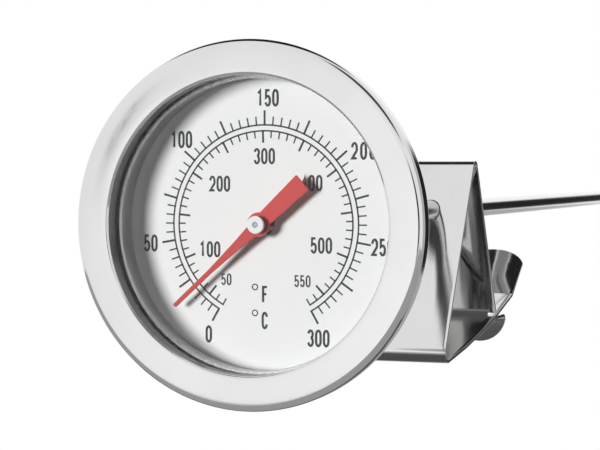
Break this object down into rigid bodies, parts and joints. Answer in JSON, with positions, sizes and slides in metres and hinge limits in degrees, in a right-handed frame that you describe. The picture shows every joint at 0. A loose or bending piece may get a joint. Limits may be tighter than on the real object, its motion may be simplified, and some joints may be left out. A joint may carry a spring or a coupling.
{
  "type": "dial thermometer",
  "caption": "Round dial thermometer with a long thin bimetal stem behind the case and a bent sheet-metal pan clip that slides along the stem.",
  "frame": {"origin": "stem axis at the back face of the collar, where the stem leaves the case", "axes": "+Y along the stem towards its tip, the dial faces -Y, +Z is the top of the dial"},
  "size_m": [0.054, 0.3172, 0.0544],
  "materials": {
    "polished_steel": "polished stainless steel",
    "satin_steel": "satin stainless steel",
    "clear_glass": "clear",
    "white_enamel": "satin white with dark grey print",
    "red_paint": "satin",
    "white_plastic": "matte",
    "seal_rubber": "matte",
    "brass": "turned",
    "bimetal": "rolled strip"
  },
  "bodies": {
    "case": {"bezel_ring": "polished_steel", "case_seal": "seal_rubber", "glass_lens": "clear_glass", "lens_gasket": "satin_steel", "spacer_ring": "satin_steel", "dial_plate": "white_enamel", "case_shell": "satin_steel", "stem_collar": "satin_steel", "stem_washer": "satin_steel", "stem_tube": "polished_steel", "tip_plug": "polished_steel", "coil_anchor": "brass", "bimetal_coil": "bimetal", "bearing_bush": "brass", "spindle_guides": "brass"},
    "movement": {"coil_socket": "brass", "spindle": "satin_steel", "spindle_collar": "brass", "pointer": "red_paint", "pointer_bushing": "satin_steel", "hub_cap": "white_plastic"},
    "clip": {"clip_frame": "polished_steel"},
    "clip_lever": {"clip_leg": "polished_steel"}
  },
  "joints": [
    {"name": "pointer_turn", "type": "hinge", "parent": "case", "child": "movement", "pos_m": [0, 0, 0], "axis": [0, 1, 0], "range_deg": [-17.8, 282.2], "stiffness_Nm_per_rad": 0.001},
    {"name": "clip_slide", "type": "slide", "parent": "case", "child": "clip", "axis": [0, 1, 0], "range_m": [-0.067, 0.2]},
    {"name": "clip_squeeze", "type": "hinge", "parent": "clip", "child": "clip_lever", "pos_m": [0, 0.0819, 0.00755], "axis": [-1, 0, 0], "range_deg": [0, 1.5], "stiffness_Nm_per_rad": 1}
  ]
}
